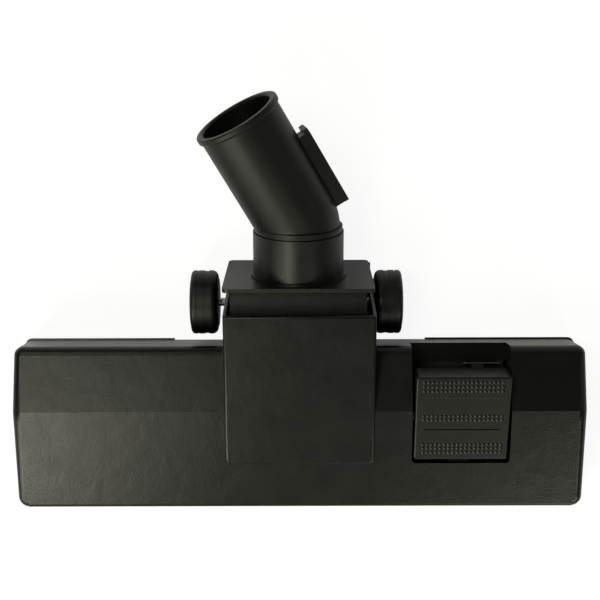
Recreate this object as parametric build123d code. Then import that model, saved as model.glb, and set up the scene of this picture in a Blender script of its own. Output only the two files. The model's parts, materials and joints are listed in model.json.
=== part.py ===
from build123d import *
import math
import os

os.makedirs("parts", exist_ok=True)

# Head: a roof-shaped cover whose front facet rises to a crease and whose rear facet falls a little.
head_width = 270.0
front_y = -38.6
crease_y = 8.0
rear_y = 38.3
front_top_z = 24.2
front_slope = 18.0
rear_slope = 7.0
parting_z = 5.0
front_lean = 0.8
rear_lean = 2.6
cover_wall = 2.2
front_corner = 5.0
rear_corner = 2.5
edge_round = 1.9

# Hump: a wedge that carries the front facet on to the back and ends in two ears.
hump_width = 70.6
hump_wall = 1.4
hump_front_y = -17.6
hump_rear_y = 52.6
hump_step = 1.0
hump_roof = 1.9
hump_round = 1.2
hump_corner = 3.0
ear_radius = 6.0

# Tilt axle and wheels.
axle_y = 59.5
axle_z = 15.4
pin_radius = 2.0
pin_head_radius = 3.6
pin_head_height = 1.2
wheel_width = 13.6
tread_width = 12.8
hub_radius = 11.4
hub_recess = 4.2
hub_recess_radius = 7.5
tyre_outer_round = 1.8
tyre_inner_round = 2.8
rib_depth = 0.3
rib_narrow = 0.8
rib_narrow_from_face = 3.6
rib_wide = 2.3
rib_wide_from_face = 7.9
left_wheel_gap = 3.7
right_wheel_gap = 0.6

# Neck block, in its own frame: Y along the collar, Z across it, the axle at the origin.
neck_tilt = 18.0
neck_shift = -0.5
block_side = 2.15
block_wall = 2.0
block_front = -2.0
block_lean = 13.7
drum_radius = 31.5
block_floor = -12.0
flange_low_inset = 1.0
flange_high_over = 0.2
flange_face = 16.0
flange_thick = 2.0
flange_low = -17.6
flange_high = 30.3
flange_corner = 2.5
collar_height = 6.0
collar_radius = 21.5
collar_end = 37.5
collar_bead = 1.1
boss_radius = 4.5
boss_length = 6.0
pin_end_gap = 0.4

# Swivel elbow: spigot, bead, thirty degree bend and wand socket.
swivel_gap = 0.3
spigot_radius = 18.6
spigot_start = 17.5
bead_radius = 20.9
bead_height = 2.5
tube_radius = 19.9
duct_radius = 16.3
bend_angle = 30.0
bend_radius = 22.0
bend_start = 36.7
tube_length = 52.5
rim_radius = 21.0
rim_length = 3.2
rim_round = 0.9
lead_in = 0.8
wand_diameter = 35.0
wand_gap = 0.1
socket_depth = 42.0
swivel_turn = 13.0
clip_start = 27.0
clip_thick = 1.6
clip_width = 2.0
clip_depth = 0.9
clip_split = 8.0
clip_side_gap = 0.3
clip_under_gap = 0.4

# Park hook: a rail on the outside of the bend, its plate overhanging the web on the lower side.
hook_length = 39.4
hook_start = -8.4
hook_web = 2.8
hook_web_width = 4.0
hook_step = 0.5
hook_plate = 2.2
hook_width = 14.0
hook_end_round = 3.0

# Pedal, its opening and its pivot.
pedal_from_middle = 9.05
pedal_front_width = 43.9
pedal_rear_width = 44.7
pedal_skew = 0.46
pedal_front_y = -15.2
pedal_rear_y = 24.3
pedal_lift = 1.2
pedal_wall = 1.6
pedal_top = 2.0
pedal_front_skirt = 6.0
pedal_front_lean = 0.6
pedal_rear_skirt = 16.0
pedal_rear_lean = 13.0
nose_reach = 2.3
nose_from_middle = 5.3
nose_width = 5.5
nose_height = 2.5
nose_tip = 1.0
pedal_corner = 1.4
pedal_round = 0.8
line_y = -0.6
line_length = 35.4
line_width = 0.6
line_depth = 0.45
opening_width = 46.5
opening_front_y = -17.2
opening_corner = 2.0
pivot_y = 4.2
pivot_z = 31.0
pivot_radius = 1.5
pivot_boss = 3.6
pusher_arm = 17.2
pusher_round = 2.0
pusher_width = 6.0
pusher_gap = 0.35
pocket_z = 21.0
pocket_fall = 1.5
pocket_edge_y = 30.8
pocket_plate = 2.0
cheek_low = 15.6
wire_radius = 0.55
wire_y = 29.5
wire_z = 20.4
wire_from_middle = 3.2
wire_length = 17.2
wire_leg = 3.2
wire_tab = 1.5

# Sole plate with the intake slot, the brush slots and the tongue below the block.
sole_thick = 2.6
sole_bevel = 0.8
sole_lip = 1.2
lip_height = 2.6
lip_gap = 0.6
rear_ledge = 0.7
ledge_inner_x = 62.0
ledge_step = 1.0
intake_inset = 23.0
intake_width = 18.0
intake_rib = 4.0
intake_windows = 6
tongue_inset = 0.3
tongue_end_y = 79.0
tongue_thick = 2.7
trough_end_y = 65.0
tongue_gap = 0.5
tongue_rise = 2.0
lifter_y = 13.5
lifter_width = 5.0
lifter_inset = 27.0
lifter_thick = 1.2

# Brush carrier and bristles.
bar_y = 30.0
bar_width = 8.0
bar_low = 8.0
bar_high = 14.0
carrier_inset = 9.0
end_bar = 5.0
end_bar_low = 9.5
slot_gap = 0.6
bridge_low = 19.0
bridge_high = 22.0
bridge_width = 10.0
bridge_inset = 2.4
bristle_length = 7.3
bristle_width = 4.4
bristle_inset = 10.0
brush_travel = 5.5

# Return springs, between the sole and the bridges of the carrier.
spring_radius = 3.2
spring_wire = 0.45
spring_turns = 5.0
spring_y = 18.6
post_radius = 2.0
post_height = 6.0

# Inner suction duct.
duct_inset = 16.0
duct_width = 24.8
duct_clear = 0.5
duct_wall = 1.5
throat_gap = 0.7
ramp_top = 16.6
ramp_reach = 6.8
ramp_foot = 2.4
ramp_end_y = 46.0
seal_gap = 0.4
seal_front_y = 43.0
seal_rear_y = 48.5

# Screws that hold the sole.
screw_radius = 1.25
screw_length = 12.0
screw_head_radius = 2.9
screw_head_height = 1.5
screw_boss = 3.6
screw_pad = 4.4
screw_gap = 0.05
screw_hole_gap = 0.4
screw_sink = 0.2
screw_inset = 23.0
screw_y = 20.6

# Fits.
running_gap = 0.05
hub_gap = 0.1
cut_over = 1.0

crease_z = front_top_z + (crease_y - front_y) * math.tan(math.radians(front_slope))
rear_top_z = crease_z - (rear_y - crease_y) * math.tan(math.radians(rear_slope))
half = head_width / 2
hump_half = hump_width / 2
inner_half = hump_half - hump_wall
left_wheel_face = -hump_half - left_wheel_gap
right_wheel_face = hump_half + right_wheel_gap
block_width = 2 * (inner_half - block_side)
flange_low_width = hump_width - 2 * flange_low_inset
flange_high_width = hump_width + 2 * flange_high_over
tongue_width = hump_width - 2 * tongue_inset
pedal_x = (hump_half + half) / 2 - pedal_from_middle
well_low = pedal_x - opening_width / 2
well_high = pedal_x + opening_width / 2
wire_inner_x = pedal_x + wire_from_middle
wire_outer_x = wire_inner_x + wire_length
intake_length = head_width - 2 * intake_inset
lifter_length = head_width - 2 * lifter_inset
carrier_half = half - carrier_inset
bristle_row = 2 * (carrier_half - bristle_inset)
duct_half = half - duct_inset
duct_top = bridge_low - brush_travel - duct_clear


def facet_z(y):
    return front_top_z + (y - front_y) * math.tan(math.radians(front_slope))


def rear_z(y):
    return crease_z - (y - crease_y) * math.tan(math.radians(rear_slope))


def prism(points, x_low, x_high):
    outline = Plane.YZ.offset(x_low) * Polygon(*points, align=None)
    return extrude(outline, amount=x_high - x_low, dir=(1, 0, 0))


def block(x_low, x_high, y_low, y_high, z_low, z_high):
    size = Box(x_high - x_low, y_high - y_low, z_high - z_low)
    return Pos((x_low + x_high) / 2, (y_low + y_high) / 2, (z_low + z_high) / 2) * size


def rod_x(radius, x_low, x_high, y, z):
    return Pos((x_low + x_high) / 2, y, z) * Rot(0, 90, 0) * Cylinder(radius, x_high - x_low)


def post(radius, x, y, z_low, z_high):
    return Pos(x, y, (z_low + z_high) / 2) * Cylinder(radius, z_high - z_low)


def both(shape):
    return shape + mirror(shape, about=Plane.YZ)


# The screws stand clear of the duct, the carrier and the pedal well.
screw_outer_x = half - screw_inset
screw_inner_x = (hump_half + well_low - cover_wall) / 2
screw_spots = [(screw_outer_x, -screw_y), (screw_outer_x, screw_y), (screw_inner_x, screw_y)]
screw_spots = screw_spots + [(-x, y) for x, y in screw_spots]
bridge_spots = [pedal_x, -pedal_x]

# Top cover, outside: the roof-shaped body with rounded corners and edges.
shell_points = [
    (front_y - front_lean, parting_z),
    (front_y, front_top_z),
    (crease_y, crease_z),
    (rear_y, rear_top_z),
    (rear_y + rear_lean, parting_z),
]
shell = prism(shell_points, -half, half)
upright = [e for e in shell.edges() if abs(e.tangent_at(0.5).Z) > 0.9]
shell = fillet([e for e in upright if e.center().Y < 0], front_corner)
upright = [
    e
    for e in shell.edges()
    if abs(e.tangent_at(0.5).Z) > 0.9 and e.center().Y > crease_y and abs(e.center().X) > half - 1
]
shell = fillet(upright, rear_corner)
rim = [
    e
    for e in shell.edges()
    if e.center().Z > front_top_z - 0.5
    and abs(e.tangent_at(0.5).Z) < 0.6
    and e.center().Z < crease_z + 1
    and not (abs(e.center().Y - crease_y) < 0.1 and abs(e.center().X) < 1)
]
shell = fillet(rim, edge_round)

# Top cover, inside: the same body one wall smaller.
slope_wall = cover_wall / math.cos(math.radians(front_slope))
hollow_points = [
    (front_y - front_lean + cover_wall, parting_z - 1),
    (front_y + cover_wall, facet_z(front_y + cover_wall) - slope_wall),
    (crease_y, crease_z - slope_wall),
    (rear_y - cover_wall, rear_z(rear_y - cover_wall) - cover_wall),
    (rear_y + rear_lean - cover_wall, parting_z - 1),
]
hollow = prism(hollow_points, cover_wall - half, half - cover_wall)
upright = [e for e in hollow.edges() if abs(e.tangent_at(0.5).Z) > 0.9]
hollow = fillet(upright, front_corner - cover_wall)

# The hump outside: roof parallel to the front facet, ears rounded about the axle.
roof_front_z = facet_z(hump_front_y) + hump_step
roof_rear_z = facet_z(hump_rear_y) + hump_step
reach_y = hump_rear_y - axle_y
reach_z = roof_rear_z - axle_z
reach = math.hypot(reach_y, reach_z)
tangent_turn = math.atan2(reach_z, reach_y) - math.acos(ear_radius / reach)
tangent_y = axle_y + ear_radius * math.cos(tangent_turn)
tangent_z = axle_z + ear_radius * math.sin(tangent_turn)
hump_points = [
    (hump_front_y, axle_z - ear_radius),
    (hump_front_y, roof_front_z),
    (hump_rear_y, roof_rear_z),
    (tangent_y, tangent_z),
    (axle_y, axle_z),
    (axle_y, axle_z - ear_radius),
]
hump = prism(hump_points, -hump_half, hump_half)
corners = [
    e
    for e in hump.edges()
    if abs(e.center().Y - hump_front_y) < 0.1 and abs(e.tangent_at(0.5).Z) > 0.9
]
hump = fillet(corners, hump_corner)
roof_edges = [e for e in hump.edges() if e.center().Z > facet_z(e.center().Y) - 0.2]
hump = fillet(roof_edges, hump_round)
hump += rod_x(ear_radius, -hump_half, hump_half, axle_y, axle_z)

# The hump inside: open below and to the back, so that the ears stand free.
roof_in = hump_step - hump_roof / math.cos(math.radians(front_slope))
throat_points = [
    (hump_front_y + hump_wall, 0),
    (hump_front_y + hump_wall, facet_z(hump_front_y + hump_wall) + roof_in),
    (axle_y + ear_radius, facet_z(axle_y + ear_radius) + roof_in),
    (axle_y + 2 * ear_radius, axle_z + ear_radius),
    (axle_y + 2 * ear_radius, 0),
]
throat = prism(throat_points, -inner_half, inner_half)
throat_wall = block(inner_half, hump_half, hump_front_y, rear_y, cheek_low, roof_rear_z)
cover = shell + hump
cover -= hollow - both(throat_wall)
cover -= throat

# Pedal well: an opening up to the rear wall, two cheeks and a sloping pocket floor.
well_top = roof_rear_z
cheek = block(
    well_low - cover_wall,
    well_high + cover_wall,
    opening_front_y - cover_wall,
    rear_y + rear_lean,
    cheek_low,
    well_top,
)
front_gate = block(well_low, well_high, opening_front_y - cover_wall, opening_front_y, 0, bridge_high + 2)
well = block(well_low, well_high, opening_front_y, rear_y + rear_lean + cut_over, 0, well_top)
well_corners = [e for e in well.edges().filter_by(Axis.Z) if e.center().Y < crease_y]
well = fillet(well_corners, opening_corner)
pocket_points = [
    (pocket_edge_y, pocket_z - pocket_fall),
    (rear_y + rear_lean + 1, pocket_z),
    (rear_y + rear_lean + 1, 0),
    (rear_y + rear_lean - cover_wall, 0),
    (rear_y + rear_lean - cover_wall, pocket_z - pocket_plate - pocket_fall),
    (pocket_edge_y, pocket_z - pocket_plate - pocket_fall),
]
pocket = prism(pocket_points, well_low, well_high) & shell
tab_high = wire_z - wire_radius - wire_tab / 2
for leg_x in (wire_inner_x, wire_outer_x):
    pocket += block(
        leg_x - wire_tab,
        leg_x + wire_tab,
        wire_y - wire_tab + running_gap,
        pocket_edge_y + cover_wall,
        pocket_z - pocket_plate - pocket_fall - wire_radius,
        tab_high,
    )
cover = cover - well + ((cheek & shell) - well - front_gate) + pocket
cover -= rod_x(pivot_radius + running_gap, well_low - 6, well_high + 6, pivot_y, pivot_z)

# Screw bosses below the cover.
for spot_x, spot_y in screw_spots:
    cover += post(screw_boss, spot_x, spot_y, screw_pad, well_top) & shell
for spot_x, spot_y in screw_spots:
    cover -= post(screw_radius + screw_gap, spot_x, spot_y, 0, screw_pad + screw_length - 1)

# Holes for the legs of the detent wire in the tabs of the pocket floor.
for leg_x in (wire_inner_x, wire_outer_x):
    cover -= post(wire_radius + running_gap, leg_x, wire_y, 0, wire_z)

# Pin holes in the ears.
cover -= rod_x(pin_radius + running_gap, -hump_width, hump_width, axle_y, axle_z)
export_step(cover, "parts/top_cover.step")

# Sole plate: a tray with a stepped rear ledge.
sole_front = front_y - front_lean
sole_rear = rear_y + rear_lean
ledge_y = sole_rear + rear_ledge
sole_points = [
    (-half, sole_front),
    (half, sole_front),
    (half, ledge_y),
    (ledge_inner_x, ledge_y),
    (ledge_inner_x, ledge_y - ledge_step),
    (-ledge_inner_x, ledge_y - ledge_step),
    (-ledge_inner_x, ledge_y),
    (-half, ledge_y),
]
sole = extrude(Polygon(*sole_points, align=None), amount=parting_z, dir=(0, 0, 1))
corner_edges = [e for e in sole.edges() if abs(e.tangent_at(0.5).Z) > 0.9 and abs(e.center().X) > half - 1]
sole = fillet([e for e in corner_edges if e.center().Y < 0], front_corner)
corner_edges = [e for e in sole.edges() if abs(e.tangent_at(0.5).Z) > 0.9 and abs(e.center().X) > half - 1]
sole = fillet([e for e in corner_edges if e.center().Y > crease_y], rear_corner)
sole = chamfer(sole.faces().sort_by(Axis.Z)[0].edges(), sole_bevel)
lip_x = half - cover_wall - lip_gap
lip_front = sole_front + cover_wall + lip_gap
lip_rear = sole_rear - cover_wall - lip_gap
lip = block(-lip_x, lip_x, lip_front, lip_rear, sole_thick, parting_z + lip_height)
sole += fillet(lip.edges().filter_by(Axis.Z), front_corner - cover_wall)
sole -= block(
    sole_lip - lip_x,
    lip_x - sole_lip,
    lip_front + sole_lip,
    lip_rear - sole_lip,
    sole_thick,
    parting_z + lip_height + 1,
)
sole -= block(-hump_half - 1, hump_half + 1, crease_y, ledge_y, parting_z, parting_z + lip_height + 1)

# Tongue below the neck block, hollowed about the axle.
tongue_sweep = math.hypot(block_front, block_floor) + tongue_gap
tongue = block(-tongue_width / 2, tongue_width / 2, rear_y, trough_end_y, 0, parting_z)
rise_half = inner_half - tongue_gap
tongue += block(-rise_half, rise_half, rear_y, trough_end_y, parting_z, parting_z + tongue_rise)
tongue -= rod_x(tongue_sweep, -tongue_width, tongue_width, axle_y, axle_z)
sole += tongue + block(-tongue_width / 2, tongue_width / 2, axle_y, tongue_end_y, 0, tongue_thick)

# Intake slot with cross ribs, brush slots, lifter grooves and screw holes.
intake = block(-intake_length / 2, intake_length / 2, -intake_width / 2, intake_width / 2, -1, parting_z)
intake_pitch = intake_length / intake_windows
for step in range(1, intake_windows):
    rib_low = step * intake_pitch - intake_length / 2 - intake_rib / 2
    intake -= block(rib_low, rib_low + intake_rib, -intake_width, intake_width, -2, parting_z + 1)
sole -= intake
slot_half = bar_width / 2 + slot_gap
for slot_y in (-bar_y, bar_y):
    end_x = carrier_half + slot_gap
    sole -= block(-end_x, end_x, slot_y - slot_half, slot_y + slot_half, -1, sole_thick + 1)
lifter_half = lifter_width / 2
for strip_y in (-lifter_y, lifter_y):
    sole -= block(
        -lifter_length / 2,
        lifter_length / 2,
        strip_y - lifter_half,
        strip_y + lifter_half,
        -1,
        lifter_thick,
    )
for spot_x, spot_y in screw_spots:
    sole += post(screw_boss + 1, spot_x, spot_y, sole_thick - 1, screw_pad)
for spot_x, spot_y in screw_spots:
    sole -= post(screw_radius + screw_hole_gap, spot_x, spot_y, -1, screw_pad + 1)
    sole -= post(screw_head_radius + screw_sink, spot_x, spot_y, -1, screw_head_height + screw_sink)
for spot_x in bridge_spots:
    sole += post(post_radius, spot_x, spring_y, sole_thick - 1, sole_thick + post_height)
export_step(sole, "parts/sole_plate.step")

# Thread lifters: velour strips in the grooves of the sole.
lifter = block(-lifter_length / 2, lifter_length / 2, -lifter_half, lifter_half, 0, lifter_thick)
export_step(Pos(0, -lifter_y, 0) * lifter, "parts/front_thread_lifter.step")
export_step(Pos(0, lifter_y, 0) * lifter, "parts/rear_thread_lifter.step")

# Sole screws.
screws = []
for spot_x, spot_y in screw_spots:
    head_top = screw_head_height + screw_sink
    screw = post(screw_head_radius, spot_x, spot_y, screw_sink, head_top)
    screw += post(screw_radius, spot_x, spot_y, head_top, head_top + screw_length)
    screws.append(screw)
export_step(Compound(children=screws), "parts/sole_screws.step")

# Suction duct: a channel over the intake, open in the middle, and a ramp up over the rear brush.
duct_y = duct_width / 2
duct_in = duct_y - duct_wall
throat_x = inner_half - throat_gap
duct = block(-duct_half, duct_half, -duct_y, duct_y, sole_thick, duct_top)
duct -= block(duct_wall - duct_half, duct_half - duct_wall, -duct_in, duct_in, 0, duct_top - duct_wall)
duct -= block(-throat_x, throat_x, -duct_in, duct_y + 1, 0, duct_top + 1)
front_wall_top = facet_z(-duct_y) - slope_wall - duct_clear
duct += block(-throat_x, throat_x, -duct_y, -duct_in, sole_thick, front_wall_top)
ramp_points = [
    (duct_in, sole_thick),
    (duct_y, sole_thick),
    (bar_y - ramp_reach, ramp_top - duct_wall),
    (bar_y + ramp_reach, ramp_top - duct_wall),
    (ramp_end_y, parting_z + tongue_rise),
    (ramp_end_y + ramp_foot, parting_z + tongue_rise),
    (bar_y + ramp_reach + duct_wall / 2, ramp_top),
    (bar_y - ramp_reach - duct_wall / 2, ramp_top),
    (duct_in, sole_thick + ramp_foot),
]
duct += prism(ramp_points, -throat_x, throat_x)
export_step(duct, "parts/suction_duct.step")

# Felt seal under the rear edge of the hump.
seal_points = [
    (seal_front_y, facet_z(seal_front_y) + roof_in),
    (seal_rear_y, facet_z(seal_rear_y) + roof_in),
    (seal_rear_y, axle_z),
    (seal_front_y, axle_z),
]
seal = prism(seal_points, seal_gap - inner_half, inner_half - seal_gap)
seal -= rod_x(drum_radius + seal_gap, -hump_width, hump_width, axle_y, axle_z)
export_step(seal, "parts/throat_seal.step")

# Brush carrier: two bars, two ends and two raised bridges over the duct.
carrier = block(-carrier_half, carrier_half, -bar_width / 2, bar_width / 2, bar_low, bar_high)
carrier = Pos(0, -bar_y, 0) * carrier + Pos(0, bar_y, 0) * carrier
carrier += both(block(carrier_half - end_bar, carrier_half, -bar_y, bar_y, end_bar_low, bar_high))
bridge_half = bridge_width / 2
bridge_y = bar_y - bridge_inset
for spot_x in bridge_spots:
    foot_y = bar_y - bar_width / 2
    bridge = block(-bridge_half, bridge_half, -bridge_y, bridge_y, bar_high - 1, bridge_high)
    bridge -= block(-bridge_width, bridge_width, -foot_y, foot_y, 0, bridge_low)
    carrier += Pos(spot_x, 0, 0) * bridge
export_step(carrier, "parts/brush_carrier.step")

# Bristle strips below the bars.
strip = block(
    -bristle_row / 2,
    bristle_row / 2,
    -bristle_width / 2,
    bristle_width / 2,
    bar_low - bristle_length,
    bar_low,
)
export_step(Pos(0, -bar_y, 0) * strip, "parts/front_bristles.step")
export_step(Pos(0, bar_y, 0) * strip, "parts/rear_bristles.step")

# Return springs: coils standing on the sole under the bridges.
spring_height = bridge_low - sole_thick - 2 * spring_wire
coil_path = Helix(spring_height / spring_turns, spring_height, spring_radius)
coil_start = Plane(origin=coil_path @ 0, z_dir=coil_path % 0)
coil = sweep(coil_start * Circle(spring_wire), path=coil_path)
coils = []
for spot_x in bridge_spots:
    coils.append(Pos(spot_x, spring_y, sole_thick + spring_wire) * coil)
export_step(Compound(children=coils), "parts/return_springs.step")

# Pedal: a hollow rocker, its top parallel to the front facet and raised above the rear one.
slope = math.radians(front_slope)
pedal_front_z = facet_z(pedal_front_y) + pedal_lift
pedal_rear_z = facet_z(pedal_rear_y) + pedal_lift
rear_drop = math.radians(pedal_rear_lean)
rear_low_y = pedal_rear_y + pedal_rear_skirt * math.sin(rear_drop)
rear_low_z = pedal_rear_z - pedal_rear_skirt * math.cos(rear_drop)
front_low_y = pedal_front_y + pedal_front_lean
front_low_z = pedal_front_z - pedal_front_skirt
front_left = pedal_x - pedal_skew - pedal_front_width / 2
front_right = pedal_x - pedal_skew + pedal_front_width / 2
rear_left = pedal_x + pedal_skew - pedal_rear_width / 2
rear_right = pedal_x + pedal_skew + pedal_rear_width / 2
pedal_left = max(front_left, rear_left)
pedal_right = min(front_right, rear_right)
pedal_points = [
    (pedal_front_y, pedal_front_z),
    (pedal_rear_y, pedal_rear_z),
    (rear_low_y, rear_low_z),
    (front_low_y, front_low_z),
]
pedal = prism(pedal_points, well_low, well_high)
pedal_outline = Polygon(
    (front_left, pedal_front_y),
    (front_right, pedal_front_y),
    (rear_right, rear_low_y),
    (rear_left, rear_low_y),
    align=None,
)
pedal &= extrude(pedal_outline, amount=well_top, dir=(0, 0, 1))
pedal_corners = [e for e in pedal.edges() if abs(e.tangent_at(0.5).Z) > 0.9]
pedal = fillet(pedal_corners, pedal_corner)
pedal_rim = pedal.faces().sort_by(Axis.Z)[-1].edges()
pedal = fillet(pedal_rim, pedal_round)
top_wall = pedal_top / math.cos(slope)
room_points = [
    (pedal_front_y + pedal_wall, facet_z(pedal_front_y + pedal_wall) + pedal_lift - top_wall),
    (pedal_rear_y - pedal_wall, facet_z(pedal_rear_y - pedal_wall) + pedal_lift - top_wall),
    (rear_low_y - pedal_wall, rear_low_z - 1),
    (rear_low_y - pedal_wall, 0),
    (front_low_y + pedal_wall, 0),
]
pedal -= prism(room_points, pedal_left + pedal_wall, pedal_right - pedal_wall)
pedal += rod_x(pivot_boss, pedal_left, pedal_right, pivot_y, pivot_z)
pusher_y = pivot_y + pusher_arm
pusher_z = bridge_high + pusher_gap + pusher_round
pusher = block(
    pedal_x - pusher_width / 2,
    pedal_x + pusher_width / 2,
    pusher_y - pusher_round,
    pusher_y + pusher_round,
    pusher_z,
    facet_z(pusher_y - pusher_round) + pedal_lift - 1,
)
pusher += rod_x(pusher_round, pedal_x - pusher_width / 2, pedal_x + pusher_width / 2, pusher_y, pusher_z)
pedal += pusher
nose_points = [
    (rear_low_y - pedal_wall / 2, rear_low_z + nose_height),
    (rear_low_y + nose_reach, rear_low_z + nose_tip),
    (rear_low_y + nose_reach, rear_low_z),
    (rear_low_y - pedal_wall / 2, rear_low_z),
]
pedal_line = Pos(pedal_x, line_y, facet_z(line_y) + pedal_lift) * Rot(front_slope, 0, 0)
pedal -= pedal_line * Box(line_length, line_width, 2 * line_depth)
nose_x = pedal_x + nose_from_middle
pedal += prism(nose_points, nose_x, nose_x + nose_width)
pedal -= rod_x(pivot_radius + running_gap, pedal_left - 1, pedal_right + 1, pivot_y, pivot_z)
export_step(pedal, "parts/pedal.step")

# Pedal pin, flush with the outer faces of the cheeks.
pin = rod_x(pivot_radius, well_low - cover_wall, well_high + cover_wall, pivot_y, pivot_z)
export_step(pin, "parts/pedal_pin.step")

# Detent wire behind the pedal, its legs turned down into the tabs.
wire = rod_x(wire_radius, wire_inner_x, wire_outer_x, wire_y, wire_z)
for leg_x in (wire_inner_x, wire_outer_x):
    wire += Pos(leg_x, wire_y, wire_z) * Sphere(wire_radius)
    wire += post(wire_radius, leg_x, wire_y, wire_z - wire_leg, wire_z)
export_step(wire, "parts/detent_wire.step")

# Neck block, built about the axle and then tilted into place.
neck_place = Pos(neck_shift, axle_y, axle_z) * Rot(neck_tilt, 0, 0)
flange_back = flange_face - flange_thick
block_half = block_width / 2
block_top_front = block_front - math.tan(math.radians(block_lean)) * (drum_radius - block_floor)
side_points = [
    (block_front, block_floor),
    (flange_back, block_floor),
    (flange_back, drum_radius),
    (block_top_front, drum_radius),
]
neck = prism(side_points, -block_half, block_half) & rod_x(drum_radius, -block_width, block_width, 0, 0)
air_points = [
    (-drum_radius, block_floor + block_wall),
    (flange_back, block_floor + block_wall),
    (flange_back, drum_radius),
    (-drum_radius, drum_radius),
]
air_half = block_half - block_wall
air = prism(air_points, -air_half, air_half)
neck -= air & rod_x(drum_radius - block_wall, -block_width, block_width, 0, 0)
flange_outline = Polygon(
    (-flange_low_width / 2, flange_low),
    (flange_low_width / 2, flange_low),
    (flange_high_width / 2, flange_high),
    (-flange_high_width / 2, flange_high),
    align=None,
)
flange = extrude(Plane.XZ.offset(-flange_back) * flange_outline, amount=flange_thick, dir=(0, 1, 0))
flange_edges = [e for e in flange.edges() if abs(e.tangent_at(0.5).Y) > 0.9]
flange = fillet(flange_edges, flange_corner)
neck += flange
collar_length = collar_end - flange_face
collar_axis = Pos(0, 0, collar_height) * Rot(-90, 0, 0)
neck += collar_axis * Pos(0, 0, flange_face + collar_length / 2) * Cylinder(collar_radius, collar_length)
base_bead = Cylinder(collar_radius + collar_bead, collar_bead)
neck += collar_axis * Pos(0, 0, flange_face + collar_bead / 2) * base_bead
boss = both(rod_x(boss_radius, air_half - boss_length, air_half + block_wall / 2, 0, 0))
neck += boss
neck -= rod_x(pin_radius, -block_width, block_width, 0, 0)
bore_radius = spigot_radius + swivel_gap
neck -= collar_axis * Pos(0, 0, collar_end) * Cylinder(bore_radius, 2 * (collar_end - flange_back))
clip_room = clip_thick + 2 * hub_gap
neck -= collar_axis * Pos(0, 0, clip_start + clip_thick / 2) * Cylinder(bore_radius + clip_depth, clip_room)
export_step(neck_place * neck, "parts/neck_block.step")

# Swivel clip: a split ring in the groove of the collar.
clip_radius = bore_radius + clip_depth
clip = Cylinder(clip_radius, clip_thick) - Cylinder(clip_radius - clip_width, clip_thick + 1)
clip -= Pos(clip_radius, 0, 0) * Box(clip_radius, clip_split, clip_thick + 1)
clip = collar_axis * Pos(0, 0, clip_start + clip_thick / 2) * clip
export_step(neck_place * clip, "parts/swivel_clip.step")

# Swivel elbow, built along Z with the bend towards X.
wand_radius = wand_diameter / 2 + wand_gap
bead_start = collar_end + swivel_gap
bead_end = bead_start + bead_height


def ring_z(radius, z_low, z_high):
    return Pos(0, 0, (z_low + z_high) / 2) * Cylinder(radius, z_high - z_low)


def bend_part(radius):
    section = Pos(0, 0, bend_start) * Circle(radius)
    axis = Axis((bend_radius, 0, bend_start), (0, 1, 0))
    return revolve(section, axis, bend_angle)


arm = Pos(bend_radius, 0, bend_start) * Rot(0, bend_angle, 0) * Pos(-bend_radius, 0, 0)
tube = bend_part(tube_radius) + arm * ring_z(tube_radius, 0, tube_length)
tube -= ring_z(tube_radius + 10, 0, bead_start + bead_height / 2)
rim_ring = ring_z(rim_radius, tube_length - rim_length, tube_length)
rim_ring = fillet(rim_ring.edges().filter_by(GeomType.CIRCLE), rim_round)
elbow = ring_z(spigot_radius, spigot_start, bead_start)
elbow += ring_z(bead_radius, bead_start, bead_end)
elbow += tube
elbow += arm * rim_ring

# Park hook: web and plate on the outside of the bend, one end of the plate rounded.
web_low = -(tube_radius + hook_web + hook_plate / 2)
web = block(
    web_low,
    -duct_radius - 1,
    -hook_web_width / 2,
    hook_width / 2 - hook_step,
    hook_start,
    hook_start + hook_length - hook_end_round / 2,
)
plate_x = -(tube_radius + hook_web)
plate = block(
    plate_x - hook_plate,
    plate_x,
    -hook_width / 2,
    hook_width / 2,
    hook_start,
    hook_start + hook_length,
)
plate_edges = plate.edges().filter_by(Axis.X)
plate = fillet([e for e in plate_edges if e.center().Z > hook_start + hook_end_round], hook_end_round)
elbow += arm * web
elbow += arm * plate

# The airway through the elbow and the wand socket with its stop.
air_path = ring_z(duct_radius, 0, bend_start) + bend_part(duct_radius)
air_path += arm * ring_z(duct_radius, 0, tube_length - socket_depth)
elbow -= air_path
elbow -= arm * ring_z(wand_radius, tube_length - socket_depth, tube_length + 1)
elbow -= arm * Pos(0, 0, tube_length - lead_in / 2) * Cone(wand_radius, wand_radius + lead_in, lead_in)
clip_end = clip_start + clip_thick
clip_groove = ring_z(tube_radius + 5, clip_start - clip_side_gap, clip_end + clip_side_gap)
clip_groove -= ring_z(clip_radius - clip_width - clip_under_gap, 0, collar_end)
elbow -= clip_groove
turn = math.radians(swivel_turn)
elbow_plane = Plane(
    origin=(0, 0, collar_height),
    x_dir=(-math.cos(turn), 0, math.sin(turn)),
    z_dir=(0, 1, 0),
)
export_step(neck_place * elbow_plane.location * elbow, "parts/swivel_elbow.step")

# Axle pins, pressed into the neck block; the heads sit in the hub recesses.
head_face = abs(left_wheel_face) + wheel_width - hub_recess + hub_gap
pin_out = head_face + neck_shift
pin_in = air_half - boss_length + pin_end_gap
axle_pin = rod_x(pin_radius, pin_in, pin_out, 0, 0)
axle_pin += rod_x(pin_head_radius, pin_out, pin_out + pin_head_height, 0, 0)
axle_place = Pos(neck_shift, axle_y, axle_z)
export_step(axle_place * axle_pin, "parts/right_axle_pin.step")
export_step(axle_place * mirror(axle_pin, about=Plane.YZ), "parts/left_axle_pin.step")

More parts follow.
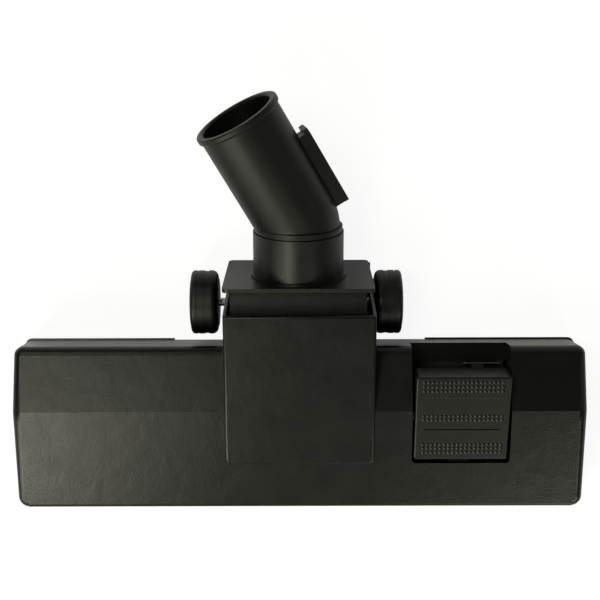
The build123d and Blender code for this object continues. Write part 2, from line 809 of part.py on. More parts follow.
# Wheels: hub with a recess for the pin head, tyre with two grooves.
hub = rod_x(hub_radius, 0, wheel_width, 0, 0)
hub -= rod_x(hub_recess_radius, wheel_width - hub_recess, wheel_width + 1, 0, 0)
hub -= rod_x(pin_radius + hub_gap, -1, wheel_width + 1, 0, 0)
tread_edge = (wheel_width - tread_width) / 2
tyre = rod_x(axle_z, tread_edge, wheel_width - tread_edge, 0, 0)
tyre_edges = tyre.edges().filter_by(GeomType.CIRCLE).sort_by(Axis.X)
tyre = fillet(tyre_edges[-1], tyre_outer_round)
tyre_edges = tyre.edges().filter_by(GeomType.CIRCLE).sort_by(Axis.X)
tyre = fillet(tyre_edges[0], tyre_inner_round)
tyre -= rod_x(hub_radius, -cut_over, wheel_width + cut_over, 0, 0)
for from_face, width in ((rib_narrow_from_face, rib_narrow), (rib_wide_from_face, rib_wide)):
    groove_x = wheel_width - from_face
    groove = rod_x(axle_z + cut_over, groove_x - width / 2, groove_x + width / 2, 0, 0)
    groove -= rod_x(axle_z - rib_depth, 0, wheel_width, 0, 0)
    tyre -= groove
right_place = Pos(right_wheel_face, axle_y, axle_z)
left_place = Pos(left_wheel_face, axle_y, axle_z)
export_step(right_place * hub, "parts/right_wheel_hub.step")
export_step(right_place * tyre, "parts/right_tyre.step")
export_step(left_place * mirror(hub, about=Plane.YZ), "parts/left_wheel_hub.step")
export_step(left_place * mirror(tyre, about=Plane.YZ), "parts/left_tyre.step")
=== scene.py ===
# %% [markdown]
# # A vacuum floor brush head
# This lesson dresses the CAD model of a vacuum cleaner's floor head.
# The CAD frame gives every piece its size and place, and Blender adds the finish and fine detail.
# Lengths are in metres, because the frame is, so a helper turns millimetres into metres.

# %% Load the frame
import json
import math

import bmesh
import bpy
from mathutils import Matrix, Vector


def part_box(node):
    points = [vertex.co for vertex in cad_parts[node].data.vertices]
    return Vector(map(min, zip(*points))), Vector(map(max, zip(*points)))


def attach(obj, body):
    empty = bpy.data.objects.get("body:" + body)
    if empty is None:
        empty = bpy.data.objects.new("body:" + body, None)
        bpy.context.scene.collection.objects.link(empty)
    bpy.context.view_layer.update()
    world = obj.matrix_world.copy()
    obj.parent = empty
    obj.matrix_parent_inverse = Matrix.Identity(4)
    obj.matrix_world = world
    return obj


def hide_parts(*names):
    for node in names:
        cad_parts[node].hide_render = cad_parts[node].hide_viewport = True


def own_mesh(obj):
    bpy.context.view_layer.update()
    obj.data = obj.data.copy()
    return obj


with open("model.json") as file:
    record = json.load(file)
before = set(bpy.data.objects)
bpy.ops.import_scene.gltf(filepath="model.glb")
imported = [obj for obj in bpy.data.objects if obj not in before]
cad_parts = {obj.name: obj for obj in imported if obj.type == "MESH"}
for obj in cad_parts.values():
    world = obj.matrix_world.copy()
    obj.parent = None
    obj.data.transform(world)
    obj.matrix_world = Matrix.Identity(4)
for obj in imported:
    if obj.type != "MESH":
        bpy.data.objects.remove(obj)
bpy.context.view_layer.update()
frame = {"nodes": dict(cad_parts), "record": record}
nodes = frame["nodes"]
scene = bpy.context.scene


def mm(value):
    return value / 1000.0


print("nodes:", sorted(nodes))

# %% [markdown]
# ## Camera
# The photo looks straight down on the head from about 65 cm, with the neck towards the top.
# A long lens at a real distance keeps the real perspective.
# The wheels and the raised neck lean outwards a little, as they do in the photo.
# The photo is turned by a small part of a degree, so the camera is too.

# %% Camera
camera = bpy.data.cameras.new("camera")
camera.lens = 78.35
camera.sensor_width = 36.0
camera_object = bpy.data.objects.new("camera", camera)
camera_object.location = (0.0002, 0.0603, 0.65)
camera_object.rotation_euler = (0.0, 0.0, -0.0025)
scene.collection.objects.link(camera_object)
scene.camera = camera_object
scene.view_settings.view_transform = "Standard"
print("camera at", tuple(camera_object.location))

# %% [markdown]
# ## Moulded plastic
# Most of the head is black plastic from an injection mould.
# The fine spark grain of the mould shows as a satin surface.
# A picture of the grain would be fixed to one view, so the grain is a noise in object space.
# A second, much larger noise changes the gloss from place to place, as handling does.
# Moulded walls also sink a little as they cool.
# A broad bump of about a tenth of a millimetre stands for that, and mottles the light.

# %% Plastic
noise_low, noise_high = 0.3, 0.7
handled_scale, handled_detail = 70.0, 8.0
grain_detail, grain_strength = 2.0, 0.5
wave_scale, wave_detail, wave_strength = 130.0, 2.5, 1.0


def shader_of(name):
    material = bpy.data.materials.new(name)
    material.use_nodes = True
    tree = material.node_tree
    return material, tree, tree.nodes["Principled BSDF"]


def noise_in(tree, scale, detail):
    place = tree.nodes.new("ShaderNodeTexCoord")
    noise = tree.nodes.new("ShaderNodeTexNoise")
    noise.inputs["Scale"].default_value = scale
    noise.inputs["Detail"].default_value = detail
    tree.links.new(place.outputs["Object"], noise.inputs["Vector"])
    return noise


def spread(tree, source, low, high):
    level = tree.nodes.new("ShaderNodeMapRange")
    level.inputs["From Min"].default_value = noise_low
    level.inputs["From Max"].default_value = noise_high
    level.inputs["To Min"].default_value = low
    level.inputs["To Max"].default_value = high
    tree.links.new(source, level.inputs["Value"])
    return level.outputs["Result"]


def bump_from(tree, noise, strength, depth):
    bump = tree.nodes.new("ShaderNodeBump")
    bump.inputs["Strength"].default_value = strength
    bump.inputs["Distance"].default_value = depth
    tree.links.new(noise.outputs["Fac"], bump.inputs["Height"])
    return bump


def plastic(name, colour, roughness, grain, depth, wear=0.022, sink=0.0, ior=1.35):
    material, tree, shader = shader_of(name)
    shader.inputs["Base Color"].default_value = (*colour, 1.0)
    shader.inputs["IOR"].default_value = ior
    handled = noise_in(tree, handled_scale, handled_detail)
    gloss = spread(tree, handled.outputs["Fac"], roughness - wear, roughness + wear)
    tree.links.new(gloss, shader.inputs["Roughness"])
    bump = bump_from(tree, noise_in(tree, grain, grain_detail), grain_strength, depth)
    if sink > 0.0:
        waves = bump_from(tree, noise_in(tree, wave_scale, wave_detail), wave_strength, sink)
        tree.links.new(waves.outputs["Normal"], bump.inputs["Normal"])
    tree.links.new(bump.outputs["Normal"], shader.inputs["Normal"])
    return material


print("plastic has grain, handling and sunk walls")

# %% [markdown]
# ## One finish for each kind of plastic
# The pieces come from different moulds, so each has its own roughness and depth of grain.
# One material for all would be shorter, but then they would all shine alike.
# The colour is the same deep black, and the hubs and tyres are darker still. The hidden pieces are
# darker again: their own black with painted shade, so they stay black where the gaps round the pedal
# show them.

# %% Plastic finishes
black = (0.0034, 0.0034, 0.0031)
# The hidden pieces' colour carries painted shade for the deep gaps round the pedal.
inner_black_with_painted_shade = (0.002, 0.002, 0.002)
hub_black = (0.003, 0.003, 0.003)
rubber_black = (0.0025, 0.0025, 0.0025)
fine_grain, medium_grain, coarse_grain = 1600.0, 1200.0, 900.0
looks = {
    "housing": plastic("housing", black, 0.30, fine_grain, mm(0.10), sink=mm(0.10)),
    "sole": plastic("sole", black, 0.30, fine_grain, mm(0.03)),
    "inner": plastic("inner", inner_black_with_painted_shade, 0.50, medium_grain, mm(0.05)),
    "pedal": plastic("pedal", black, 0.36, fine_grain, mm(0.06), sink=mm(0.08)),
    "neck": plastic("neck", black, 0.38, fine_grain, mm(0.10), sink=mm(0.08)),
    "elbow": plastic("elbow", black, 0.42, fine_grain, mm(0.10), sink=mm(0.08), ior=1.32),
    "hub": plastic("hub", hub_black, 0.40, fine_grain, mm(0.04)),
    "tyre": plastic("tyre", rubber_black, 0.42, coarse_grain, mm(0.08)),
}
print("plastics:", sorted(looks))

# %% [markdown]
# ## Steel, felt and velour
# The pins, screws and springs are steel, which needs only a metallic shader.
# The small wire and the pedal's pin have a darker copy of the steel, painted shade for the dark gap
# behind the pedal where they lie.
# The lint strips are red velour and the seal is felt.
# Both are dull, and a sheen gives the soft edge of cloth.

# %% Other finishes
cloth_roughness, cloth_wear = 0.9, 0.05
sheen_weight, sheen_roughness = 0.4, 0.5
cloth_grain, cloth_depth = 2500.0, mm(0.3)
bristle_grain = 1500.0


def metal(name, colour, roughness):
    material, _, shader = shader_of(name)
    shader.inputs["Base Color"].default_value = (*colour, 1.0)
    shader.inputs["Metallic"].default_value = 1.0
    shader.inputs["Roughness"].default_value = roughness
    return material


def cloth(name, colour):
    material = plastic(name, colour, cloth_roughness, cloth_grain, cloth_depth, wear=cloth_wear)
    shader = material.node_tree.nodes["Principled BSDF"]
    shader.inputs["Sheen Weight"].default_value = sheen_weight
    shader.inputs["Sheen Roughness"].default_value = sheen_roughness
    return material


def dress(piece, material):
    piece.data.materials.clear()
    piece.data.materials.append(material)


looks["steel"] = metal("steel", (0.55, 0.54, 0.52), 0.28)
looks["felt"] = cloth("felt", (0.010, 0.010, 0.010))
looks["velour"] = cloth("velour", (0.16, 0.010, 0.012))
looks["bristle"] = plastic("bristle", (0.010, 0.010, 0.010), 0.45, bristle_grain, mm(0.02))
slots = {part["node"]: part["material_slot"] for part in frame["record"]["subparts"]}
for name, node in nodes.items():
    dress(node, looks[slots[name]])
# The darker steel is painted shade: the wire and the pin sit in the dark gap behind the pedal.
steel_in_painted_shade = metal("steel_in_painted_shade", (0.14, 0.14, 0.135), 0.22)
for name in ("detent_wire", "pedal_pin"):
    dress(nodes[name], steel_in_painted_shade)
print("finishes given to", len(nodes), "nodes")

# %% [markdown]
# ## Helpers for meshes
# Bumps, bristles and screws repeat, so Geometry Nodes make them from a mesh of bare points.
# The cover and the springs start from a copy of their CAD mesh, merged and with smooth faces.

# %% Mesh helpers
merge_distance = 1e-7


def add_piece(name, mesh):
    piece = bpy.data.objects.new(name, mesh)
    scene.collection.objects.link(piece)
    return piece


def point_mesh(name, points, rises=None):
    mesh = bpy.data.meshes.new(name)
    mesh.from_pydata(points, [], [])
    if rises is not None:
        layer = mesh.attributes.new("rise", "FLOAT", "POINT")
        layer.data.foreach_set("value", rises)
    return add_piece(name, mesh)


def mesh_from(name, shape):
    mesh = bpy.data.meshes.new(name)
    shape.to_mesh(mesh)
    shape.free()
    return mesh


def merged_copy(name, node):
    shape = bmesh.new()
    shape.from_mesh(nodes[node].data)
    bmesh.ops.remove_doubles(shape, verts=shape.verts, dist=merge_distance)
    for face in shape.faces:
        face.smooth = True
    return add_piece(name, mesh_from(name, shape))


def evaluated_mesh(piece):
    depsgraph = bpy.context.evaluated_depsgraph_get()
    evaluated = piece.evaluated_get(depsgraph)
    mesh = bpy.data.meshes.new_from_object(evaluated, depsgraph=depsgraph)
    piece.modifiers.clear()
    return mesh


print("mesh helpers ready")

# %% [markdown]
# ## Helper for Geometry Nodes
# Each tree has named inputs for its sizes, and ends in Realize Instances and Set Material.
# The result is then turned into a plain mesh, because the export keeps no instances.


# %% Tree helper
class Tree:
    def __init__(self, name, sizes):
        self.group = bpy.data.node_groups.new(name, "GeometryNodeTree")
        face = self.group.interface
        face.new_socket("Geometry", in_out="INPUT", socket_type="NodeSocketGeometry")
        face.new_socket("Geometry", in_out="OUTPUT", socket_type="NodeSocketGeometry")
        self.inputs = {}
        for label, value in sizes.items():
            socket = face.new_socket(label, in_out="INPUT", socket_type="NodeSocketFloat")
            socket.default_value = value
            self.inputs[label] = (socket.identifier, value)
        self.start = self.group.nodes.new("NodeGroupInput")
        self.end = self.group.nodes.new("NodeGroupOutput")

    def link(self, source, target):
        self.group.links.new(source, target)

    def node(self, kind, values=None, **settings):
        made = self.group.nodes.new(kind)
        for key, value in settings.items():
            setattr(made, key, value)
        for key, value in (values or {}).items():
            if isinstance(value, bpy.types.NodeSocket):
                self.link(value, made.inputs[key])
            else:
                made.inputs[key].default_value = value
        return made

    def math(self, operation, first, second):
        return self.node("ShaderNodeMath", {0: first, 1: second}, operation=operation).outputs[0]

    def vector(self, **parts):
        return self.node("ShaderNodeCombineXYZ", parts).outputs["Vector"]

    def random(self, low, high, seed):
        values = {"Seed": seed, "Min": low, "Max": high}
        chance = self.node("FunctionNodeRandomValue", values, data_type="FLOAT_VECTOR")
        return chance.outputs["Value"]

    def size(self, label):
        return self.start.outputs[label]

    def points(self):
        return self.start.outputs["Geometry"]

    def close(self, geometry, material):
        real = self.node("GeometryNodeRealizeInstances", {"Geometry": geometry})
        paint = self.node(
            "GeometryNodeSetMaterial",
            {"Geometry": real.outputs["Geometry"], "Material": material},
        )
        self.link(paint.outputs["Geometry"], self.end.inputs["Geometry"])

    def apply(self, piece):
        modifier = piece.modifiers.new("grow", "NODES")
        modifier.node_group = self.group
        for identifier, value in self.inputs.values():
            modifier[identifier] = value
        piece.data = evaluated_mesh(piece)
        print(piece.name, "has", len(piece.data.polygons), "faces")


print("tree helper ready")

# %% [markdown]
# ## Rounder rim on the cover
# The real cover has soft shoulders, and the CAD rim is sharper at the sides and the back.
# A Bevel modifier needs clean edges, and the CAD mesh is made of loose triangles.
# So a cutter is swept along the rim, as a ball cutter would run in the workshop.
# Its path goes from the front corner along the side and round the rear corner to the hump.
# The radius shrinks towards the front, down to that of the CAD rim.

# %% Rim path
cover_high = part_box("top_cover")[1]
cover_half = cover_high[0]
crease_y, crease_z = mm(8.0), mm(39.34)
rear_edge_y = mm(38.3)
side_front_y = mm(-33.6)
slope = math.radians(18.0)
front_rise = math.tan(slope)
rear_fall = math.tan(math.radians(7.0))
rear_lean = 2.6 / 30.6
rim_radius, rim_radius_side, rim_radius_front = mm(3.9), mm(3.3), mm(1.9)
corner_radius, front_corner_radius = mm(4.0), mm(5.0)
hump_clear_x = mm(36.5)
arc_steps, side_steps = 10, 8
quarter_turn = math.radians(90.0)


def between(first, last, share):
    return first + (last - first) * share


def roof_z(y):
    fall = front_rise * (crease_y - y) if y < crease_y else rear_fall * (y - crease_y)
    return crease_z - fall


def rim_stations():
    for step in range(arc_steps):
        turn = quarter_turn * (1.0 - step / arc_steps)
        out = (-math.cos(turn), -math.sin(turn))
        x = -cover_half + front_corner_radius * (1.0 + out[0])
        y = side_front_y + front_corner_radius * out[1]
        yield (x, y), out, between(rim_radius_front, rim_radius_side, step / arc_steps)
    for step in range(side_steps + 1):
        share = step / side_steps
        y = between(side_front_y, crease_y, share)
        yield (-cover_half, y), (-1.0, 0.0), between(rim_radius_side, rim_radius, share)
    for step in range(arc_steps + 1):
        turn = quarter_turn * step / arc_steps
        out = (-math.cos(turn), math.sin(turn))
        x = -cover_half + corner_radius * (1.0 + out[0])
        y = rear_edge_y + corner_radius * (out[1] - 1.0)
        yield (x, y), out, rim_radius
    yield (-hump_clear_x, rear_edge_y), (0.0, 1.0), rim_radius


print("rim path has", len(list(rim_stations())), "stations")

# %% [markdown]
# ## Section of the cutter
# The cutter's section is the scrap between a sharp corner and an arc.
# It reaches past the wall and above the roof, so that no skin is left there.
# One ring of points stands at each station, and faces join each ring to the next.

# %% Rim cutter
cut_margin, wall_gap = mm(1.5), mm(0.05)
cut_depth = mm(27.0)


def rim_section(place, out, radius):
    section = []
    for step in range(arc_steps + 1):
        turn = quarter_turn * step / arc_steps
        section.append((radius * (1.0 - math.sin(turn)), radius * (1.0 - math.cos(turn))))
    section += [(-wall_gap, radius + cut_margin), (-wall_gap, cut_depth)]
    section += [(-cut_margin * 2, cut_depth), (-cut_margin * 2, -cut_margin)]
    section += [(radius, -cut_margin)]
    points = []
    for inward, below in section:
        out_by = -inward + rear_lean * max(below, 0.0) * max(out[1], 0.0)
        x, y = place[0] + out[0] * out_by, place[1] + out[1] * out_by
        points.append((x, y, roof_z(min(y, rear_edge_y)) - below))
    return points


def rim_cutter(name, side):
    shape = bmesh.new()
    rings = []
    for place, out, radius in rim_stations():
        ring = rim_section(place, out, radius)
        rings.append([shape.verts.new((side * x, y, z)) for x, y, z in ring])
    for first, second in zip(rings, rings[1:]):
        for index in range(len(first)):
            after = (index + 1) % len(first)
            shape.faces.new((first[index], first[after], second[after], second[index]))
    shape.faces.new(rings[0])
    shape.faces.new(rings[-1])
    bmesh.ops.recalc_face_normals(shape, faces=shape.faces)
    return add_piece(name, mesh_from(name, shape))


cutters = [rim_cutter("left_rim_cutter", 1.0), rim_cutter("right_rim_cutter", -1.0)]
print("rim cutters have", [len(cutter.data.polygons) for cutter in cutters], "faces")

# %% [markdown]
# ## Cut and shade the cover
# A Boolean takes the two cutters out of a merged copy of the cover, so the CAD mesh stays as it is.
# Smooth shading rounds the new rim, and the broad faces are set flat so that they stay clean.

# %% Soft cover
sharp_angle = math.radians(14.0)
broad_area = 2.0e-4
same_way = math.cos(math.radians(0.5))
soft_cover = merged_copy("soft_cover", "top_cover")
for cutter in cutters:
    cut = soft_cover.modifiers.new(cutter.name, "BOOLEAN")
    cut.operation = "DIFFERENCE"
    cut.solver = "EXACT"
    cut.object = cutter
cover_mesh = evaluated_mesh(soft_cover)
for cutter in cutters:
    bpy.data.objects.remove(cutter)
cover_mesh.shade_smooth()
cover_mesh.set_sharp_from_angle(angle=sharp_angle)
broad = [face.normal.copy() for face in cover_mesh.polygons if face.area > broad_area]
for face in cover_mesh.polygons:
    face.use_smooth = not any(face.normal.dot(normal) > same_way for normal in broad)
soft_cover.data = cover_mesh
dress(soft_cover, looks["housing"])
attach(soft_cover, "head")
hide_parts("top_cover")
print("soft_cover has", len(cover_mesh.polygons), "faces")

# %% [markdown]
# ## Grip on the pedal
# A foot rocks the pedal, and rows of small moulded pyramids keep a shoe from slipping.
# They are texture and not a form of the CAD, so each is a four-sided cone set on a point.
# The attribute "rise" makes two rows lower, because they are fainter in the photo.
# The pedal's top slopes like the front of the cover, so the cones are turned to stand on it.

# %% Grip points
pedal_low, pedal_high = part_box("pedal")
pedal_middle_x = (pedal_low[0] + pedal_high[0]) / 2
pedal_edge_y, pedal_edge_z = mm(-38.6), mm(25.4)
grip_columns, grip_width = 19, mm(36.6)
grip_sink = mm(0.05)
grip_rows = {
    21.8: 1.0,
    19.6: 1.0,
    17.6: 1.0,
    14.7: 0.22,
    12.6: 0.14,
    5.7: 1.0,
    3.9: 1.0,
    -8.0: 1.0,
    -9.8: 1.0,
    -11.8: 1.0,
}
spots = []
rises = []
for row, rise in grip_rows.items():
    for column in range(grip_columns):
        x = pedal_middle_x + grip_width * (column / (grip_columns - 1) - 0.5)
        y = mm(row)
        z = pedal_edge_z + (y - pedal_edge_y) * math.tan(slope)
        spots.append((x, y, z - grip_sink))
        rises.append(rise)
grip = point_mesh("pedal_grip", spots, rises)
print("pedal_grip has", len(spots), "points")

# %% [markdown]
# ## Pyramids of the grip
# A cone with four sides is a pyramid, and half a right angle squares it to the pedal.
# The tree sets one on each point, so a change of width or height is one number.

# %% Grip pyramids
pyramid_width, pyramid_height = mm(1.75), mm(0.52)
pyramid_sides = 4
tree = Tree("grip_pyramids", {"Width": pyramid_width, "Height": pyramid_height})
half_diagonal = tree.math("MULTIPLY", tree.size("Width"), math.sqrt(0.5))
cone = tree.node(
    "GeometryNodeMeshCone",
    {
        "Vertices": pyramid_sides,
        "Radius Top": 0.0,
        "Radius Bottom": half_diagonal,
        "Depth": tree.size("Height"),
    },
)
square = tree.node(
    "GeometryNodeTransform",
    {"Geometry": cone.outputs["Mesh"], "Rotation": (0.0, 0.0, math.radians(45.0))},
)
rise = tree.node("GeometryNodeInputNamedAttribute", {"Name": "rise"}, data_type="FLOAT")
placed = tree.node(
    "GeometryNodeInstanceOnPoints",
    {
        "Points": tree.points(),
        "Instance": square.outputs["Geometry"],
        "Rotation": (slope, 0.0, 0.0),
        "Scale": tree.vector(X=1.0, Y=1.0, Z=rise.outputs["Attribute"]),
    },
)
tree.close(placed.outputs["Instances"], looks["pedal"])
tree.apply(grip)
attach(grip, "pedal")

# %% [markdown]
# ## Bristles
# Two rows of black bristles hang below the brush carrier.
# They come down through the sole when the pedal is pressed.
# Real bristles stand in punched tufts.
# So one tuft is grown from random points and set along the row many times.
# Each hair is a thin three-sided cone, because thousands of them need few faces each.

# %% Bristles
tuft_pitch, tuft_spread = mm(2.4), mm(0.75)
tuft_rows = (mm(-0.9), mm(0.9))
hairs_per_tuft, hair_sides = 20, 3
hair_root, hair_tip, hair_inset = mm(0.11), mm(0.06), mm(0.1)
hair_lean, full_turn = 0.06, 6.28


def bristle_spots(low, high):
    middle_y = (low[1] + high[1]) / 2
    count = int((high[0] - low[0]) / tuft_pitch)
    start_x = (low[0] + high[0] - (count - 1) * tuft_pitch) / 2
    spots = []
    for offset in tuft_rows:
        for step in range(count):
            spots.append((start_x + step * tuft_pitch, middle_y + offset, high[2]))
    return spots


def bristle_row(name, node):
    low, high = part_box(node)
    row = point_mesh(name, bristle_spots(low, high))
    length = high[2] - low[2] - hair_inset
    tree = Tree(name, {"Length": length, "Hair": hair_root, "Spread": tuft_spread})
    hairs = tree.node("GeometryNodePoints", {"Count": hairs_per_tuft})
    side = tree.math("MULTIPLY", tree.size("Spread"), -1.0)
    low_corner = tree.vector(X=side, Y=side)
    high_corner = tree.vector(X=tree.size("Spread"), Y=tree.size("Spread"))
    placed = tree.node(
        "GeometryNodeSetPosition",
        {
            "Geometry": hairs.outputs["Points"],
            "Offset": tree.random(low_corner, high_corner, seed=4),
        },
    )
    hair = tree.node(
        "GeometryNodeMeshCone",
        {
            "Vertices": hair_sides,
            "Radius Top": hair_tip,
            "Radius Bottom": tree.size("Hair"),
            "Depth": tree.size("Length"),
        },
        fill_type="NONE",
    )
    lean_low = (math.pi - hair_lean, -hair_lean, 0.0)
    lean_high = (math.pi + hair_lean, hair_lean, full_turn)
    tuft = tree.node(
        "GeometryNodeInstanceOnPoints",
        {
            "Points": placed.outputs["Geometry"],
            "Instance": hair.outputs["Mesh"],
            "Rotation": tree.random(lean_low, lean_high, seed=7),
        },
    )
    rows = tree.node(
        "GeometryNodeInstanceOnPoints",
        {
            "Points": tree.points(),
            "Instance": tuft.outputs["Instances"],
            "Rotation": tree.random((0.0, 0.0, 0.0), (0.0, 0.0, full_turn), seed=11),
        },
    )
    tree.close(rows.outputs["Instances"], looks["bristle"])
    tree.apply(row)
    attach(row, "brush")
    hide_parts(node)


bristle_row("front_tufts", "front_bristles")
bristle_row("rear_tufts", "rear_bristles")

# %% [markdown]
# ## Velour lint strips
# Two strips of slanted velour beside the intake pick up hair and thread.
# A plain red strip would look painted, so fibres are grown on it.
# A thin backing sheet lies in the groove of the sole, and short fibres hang below it.
# The fibres of one strip lean one way, and those of the other strip lean the other way.

# %% Velour
pile_height = mm(0.75)
fibre_root, fibre_tip = mm(0.16), mm(0.05)
fibre_density, fibre_sides = 6.0e6, 3
fibre_lean, fibre_scatter = 0.5, 0.25
facing_down = -0.5
box_faces = ((0, 1, 3, 2), (4, 6, 7, 5), (0, 4, 5, 1), (2, 3, 7, 6), (0, 2, 6, 4), (1, 5, 7, 3))


def backing_sheet(name, low, high):
    shape = bmesh.new()
    sides, ends = (low[0], high[0]), (low[1], high[1])
    heights = (low[2] + pile_height, high[2])
    made = [shape.verts.new((x, y, z)) for x in sides for y in ends for z in heights]
    for face in box_faces:
        shape.faces.new([made[index] for index in face])
    bmesh.ops.recalc_face_normals(shape, faces=shape.faces)
    return add_piece(name, mesh_from(name, shape))


def lint_strip(name, node, lean):
    low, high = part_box(node)
    strip = backing_sheet(name, low, high)
    tree = Tree(name, {"Pile": pile_height, "Fibre": fibre_root, "Density": fibre_density})
    normal = tree.node("GeometryNodeInputNormal")
    parts = tree.node("ShaderNodeSeparateXYZ", {"Vector": normal.outputs["Normal"]})
    grown = tree.node(
        "GeometryNodeDistributePointsOnFaces",
        {
            "Mesh": tree.points(),
            "Selection": tree.math("LESS_THAN", parts.outputs["Z"], facing_down),
            "Density": tree.size("Density"),
            "Seed": 3,
        },
    )
    fibre = tree.node(
        "GeometryNodeMeshCone",
        {
            "Vertices": fibre_sides,
            "Radius Top": fibre_tip,
            "Radius Bottom": tree.size("Fibre"),
            "Depth": tree.size("Pile"),
        },
        fill_type="NONE",
    )
    tilt_low = (math.pi + lean - fibre_scatter, -fibre_scatter, 0.0)
    tilt_high = (math.pi + lean + fibre_scatter, fibre_scatter, 0.0)
    pile = tree.node(
        "GeometryNodeInstanceOnPoints",
        {
            "Points": grown.outputs["Points"],
            "Instance": fibre.outputs["Mesh"],
            "Rotation": tree.random(tilt_low, tilt_high, seed=5),
        },
    )
    whole = tree.node("GeometryNodeJoinGeometry")
    tree.link(pile.outputs["Instances"], whole.inputs["Geometry"])
    tree.link(tree.points(), whole.inputs["Geometry"])
    tree.close(whole.outputs["Geometry"], looks["velour"])
    tree.apply(strip)
    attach(strip, "head")
    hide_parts(node)


lint_strip("front_lint_strip", "front_thread_lifter", fibre_lean)
lint_strip("rear_lint_strip", "rear_thread_lifter", -fibre_lean)

# %% [markdown]
# ## Return springs
# Two coil springs lift the brush when the pedal is rocked back.
# The CAD coils already have the right shape, so a merged copy of their mesh takes their place.

# %% Springs
coils = merged_copy("return_coils", "return_springs")
dress(coils, looks["steel"])
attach(coils, "head")
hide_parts("return_springs")
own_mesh(coils)

# %% [markdown]
# ## Places of the screws
# Six pan-head screws hold the sole from below.
# Their places come from the CAD screws: the vertices are gathered into one group for each screw.

# %% Screw places
screw_reach = mm(12.0)
groups = []
for vertex in nodes["sole_screws"].data.vertices:
    here = Vector((vertex.co.x, vertex.co.y, 0.0))
    for group in groups:
        if (Vector((group[0].x, group[0].y, 0.0)) - here).length < screw_reach:
            group.append(vertex.co.copy())
            break
    else:
        groups.append([vertex.co.copy()])
spots = []
for group in groups:
    x = (min(spot.x for spot in group) + max(spot.x for spot in group)) / 2
    y = (min(spot.y for spot in group) + max(spot.y for spot in group)) / 2
    spots.append((x, y, min(spot.z for spot in group)))
head_radius = (max(spot.x for spot in groups[0]) - min(spot.x for spot in groups[0])) / 2
screw_length = max(spot.z for spot in groups[0]) - spots[0][2]
print("screws:", len(spots), "head radius", head_radius, "length", screw_length)

# %% [markdown]
# ## Screws with a cross recess
# The screwdriver's cross is in view from below, so it is cut out of the head by a Mesh Boolean node.
# One screw is set on all six points, each turned by chance, as a hand would leave them.

# %% Screws
head_height, shank_radius, slot_width = mm(1.6), mm(1.3), mm(0.9)
head_sides, shank_sides = 28, 16
cross_span, cross_drop = 1.2, -0.45
screws = point_mesh("cross_screws", spots)
tree = Tree(
    "cross_screw",
    {
        "Head": head_radius,
        "Height": head_height,
        "Shank": shank_radius,
        "Length": screw_length,
        "Slot": slot_width,
    },
)


def moved_up(tree, mesh, height):
    return tree.node(
        "GeometryNodeTransform", {"Geometry": mesh, "Translation": tree.vector(Z=height)}
    ).outputs["Geometry"]


def cylinder(tree, sides, radius, depth):
    return tree.node(
        "GeometryNodeMeshCylinder", {"Vertices": sides, "Radius": radius, "Depth": depth}
    ).outputs["Mesh"]


slot, height, length = tree.size("Slot"), tree.size("Height"), tree.size("Length")
span = tree.math("MULTIPLY", tree.size("Head"), cross_span)
lower = tree.math("MULTIPLY", height, cross_drop)
cut = tree.node("GeometryNodeMeshBoolean", operation="DIFFERENCE", solver="EXACT")
tree.link(cylinder(tree, head_sides, tree.size("Head"), height), cut.inputs["Mesh 1"])
for wide, deep in ((span, slot), (slot, span)):
    arm = tree.node("GeometryNodeMeshCube", {"Size": tree.vector(X=wide, Y=deep, Z=height)})
    tree.link(moved_up(tree, arm.outputs["Mesh"], lower), cut.inputs["Mesh 2"])
head = moved_up(tree, cut.outputs["Mesh"], tree.math("MULTIPLY", height, 0.5))
rest = tree.math("SUBTRACT", length, height)
middle = tree.math("MULTIPLY", tree.math("ADD", length, height), 0.5)
shank = moved_up(tree, cylinder(tree, shank_sides, tree.size("Shank"), rest), middle)
screw = tree.node("GeometryNodeJoinGeometry")
tree.link(head, screw.inputs["Geometry"])
tree.link(shank, screw.inputs["Geometry"])
placed = tree.node(
    "GeometryNodeInstanceOnPoints",
    {
        "Points": tree.points(),
        "Instance": screw.outputs["Geometry"],
        "Rotation": tree.random((0.0, 0.0, 0.0), (0.0, 0.0, math.pi), seed=2),
    },
)
tree.close(placed.outputs["Instances"], looks["steel"])
tree.apply(screws)
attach(screws, "head")
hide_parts("sole_screws")

# %% [markdown]
# ## Floor
# The photo has a pure white background with hardly any shadow, as a light table gives.
# Rays from the camera meet a floor that glows almost white and keeps a faint shadow.
# Mirror rays meet a mix of that glow and plain paper.
# All other rays meet paper alone, so the glow doesn't light the head.
# The share of glow is under one, because a fully white floor would bleach the steep rear wall.

# %% Ray helpers
mirror_share = 0.3


def grey(level):
    return (level, level, level, 1.0)


def math_in(tree, operation, first, second):
    node = tree.nodes.new("ShaderNodeMath")
    node.operation = operation
    for place, value in enumerate((first, second)):
        if isinstance(value, bpy.types.NodeSocket):
            tree.links.new(value, node.inputs[place])
        else:
            node.inputs[place].default_value = value
    return node.outputs[0]


def seen_rays(tree, share):
    rays = tree.nodes.new("ShaderNodeLightPath").outputs
    mirrors = math_in(tree, "MAXIMUM", rays["Is Glossy Ray"], rays["Is Transmission Ray"])
    dimmed = math_in(tree, "MULTIPLY", mirrors, share)
    return math_in(tree, "MAXIMUM", rays["Is Camera Ray"], dimmed)


def mix_by(tree, factor, first, second, surface):
    mix = tree.nodes.new("ShaderNodeMixShader")
    tree.links.new(factor, mix.inputs["Fac"])
    tree.links.new(first, mix.inputs[1])
    tree.links.new(second, mix.inputs[2])
    tree.links.new(mix.outputs["Shader"], surface)


print("mirror rays see", mirror_share, "of the glow")

# %% [markdown]
# ## Light table
# The glow and a dark diffuse shader are added, and the diffuse part is what carries the shadow.
# The plane lies a fifth of a millimetre below the sole, so the two faces don't flicker.

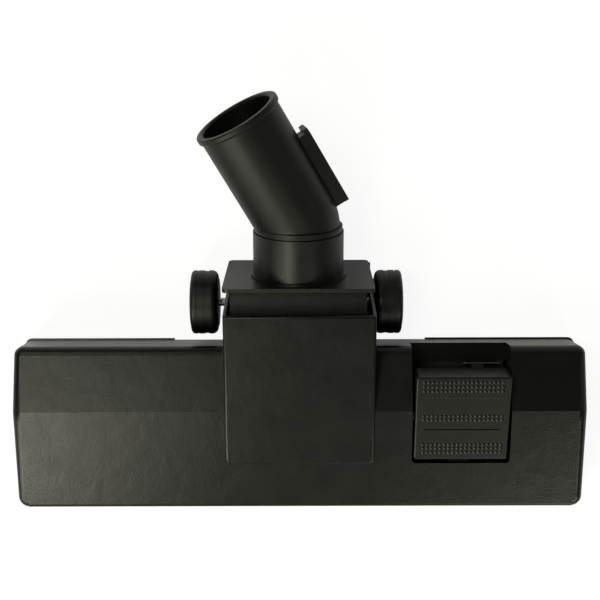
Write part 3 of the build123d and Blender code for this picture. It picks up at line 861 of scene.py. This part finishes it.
# %% Floor
floor_size, floor_z = 6.0, mm(-0.2)
glow_strength = 0.9
paper_grey, paper_roughness, shadow_grey = 0.8, 0.9, 0.16
bpy.ops.mesh.primitive_plane_add(size=floor_size, location=(0.0, 0.0, floor_z))
floor = bpy.context.object
floor.name = "floor"
paper, tree, shader = shader_of("paper")
shader.inputs["Base Color"].default_value = grey(paper_grey)
shader.inputs["Roughness"].default_value = paper_roughness
glow = tree.nodes.new("ShaderNodeEmission")
glow.inputs["Strength"].default_value = glow_strength
faint = tree.nodes.new("ShaderNodeBsdfDiffuse")
faint.inputs["Color"].default_value = grey(shadow_grey)
table = tree.nodes.new("ShaderNodeAddShader")
tree.links.new(glow.outputs["Emission"], table.inputs[0])
tree.links.new(faint.outputs["BSDF"], table.inputs[1])
mix_by(
    tree,
    seen_rays(tree, mirror_share),
    shader.outputs["BSDF"],
    table.outputs["Shader"],
    tree.nodes["Material Output"].inputs["Surface"],
)
floor.data.materials.append(paper)
print("floor", floor.dimensions[0], "m wide")

# %% [markdown]
# ## Backdrop
# The backdrop is white for the camera, and does the same as the floor for mirror rays.
# It reaches about 15 degrees up for them, and above that they see a dark studio.

# %% Backdrop
backdrop_height = 0.26
studio_grey, backdrop_grey = 0.08, 0.9
world = bpy.data.worlds.new("studio")
world.use_nodes = True
tree = world.node_tree
sky = tree.nodes["Background"]
sky.inputs["Color"].default_value = grey(studio_grey)
white = tree.nodes.new("ShaderNodeBackground")
white.inputs["Color"].default_value = grey(backdrop_grey)
place = tree.nodes.new("ShaderNodeTexCoord")
parts = tree.nodes.new("ShaderNodeSeparateXYZ")
tree.links.new(place.outputs["Generated"], parts.inputs["Vector"])
low = math_in(tree, "LESS_THAN", parts.outputs["Z"], backdrop_height)
mix_by(
    tree,
    seen_rays(tree, math_in(tree, "MULTIPLY", low, mirror_share)),
    sky.outputs["Background"],
    white.outputs["Background"],
    tree.nodes["World Output"].inputs["Surface"],
)
scene.world = world
print("backdrop set")

# %% [markdown]
# ## Light
# Black plastic shows its lamps more than its colour, so the places of the soft boxes count most.
# Each box is placed by its height above the horizon and its side, in degrees.
# Side 0 is the front and 90 the left.
# The front and left boxes are a little warm.
# The right and back ones are cool and weak, and draw the edges on those sides.

# %% Light
box_distance = 1.4
head_middle = Vector((0.0, 0.03, 0.02))
warm = (1.0, 1.0, 0.82)
cool = (0.84, 1.0, 0.96)


def soft_box(name, height, side, size, power, colour):
    light = bpy.data.lights.new(name, "AREA")
    light.shape = "RECTANGLE"
    light.size, light.size_y = size
    light.energy = power
    light.color = colour
    up, about = math.radians(height), math.radians(side)
    flat = math.cos(up)
    way = Vector((-flat * math.sin(about), -flat * math.cos(about), math.sin(up)))
    box = bpy.data.objects.new(name, light)
    box.location = head_middle + box_distance * way
    box.rotation_euler = (-way).to_track_quat("-Z", "Y").to_euler()
    scene.collection.objects.link(box)
    print(name, [round(part, 2) for part in box.location])


soft_box("front_left_box", 42.5, 32.5, (0.46, 0.54), 9.2, warm)
soft_box("low_left_box", 22.0, 48.0, (0.50, 0.42), 5.0, warm)
soft_box("front_right_box", 29.0, 334.0, (0.62, 0.42), 6.0, warm)
soft_box("left_box", 68.0, 100.0, (0.42, 0.56), 5.6, warm)
soft_box("left_back_box", 46.0, 152.0, (0.42, 0.60), 2.0, warm)
soft_box("right_box", 33.0, 272.0, (0.42, 0.70), 0.7, cool)
soft_box("back_box", 24.0, 200.0, (0.80, 0.42), 0.6, cool)

# %% [markdown]
# ## End

# %% End
print("scene built")
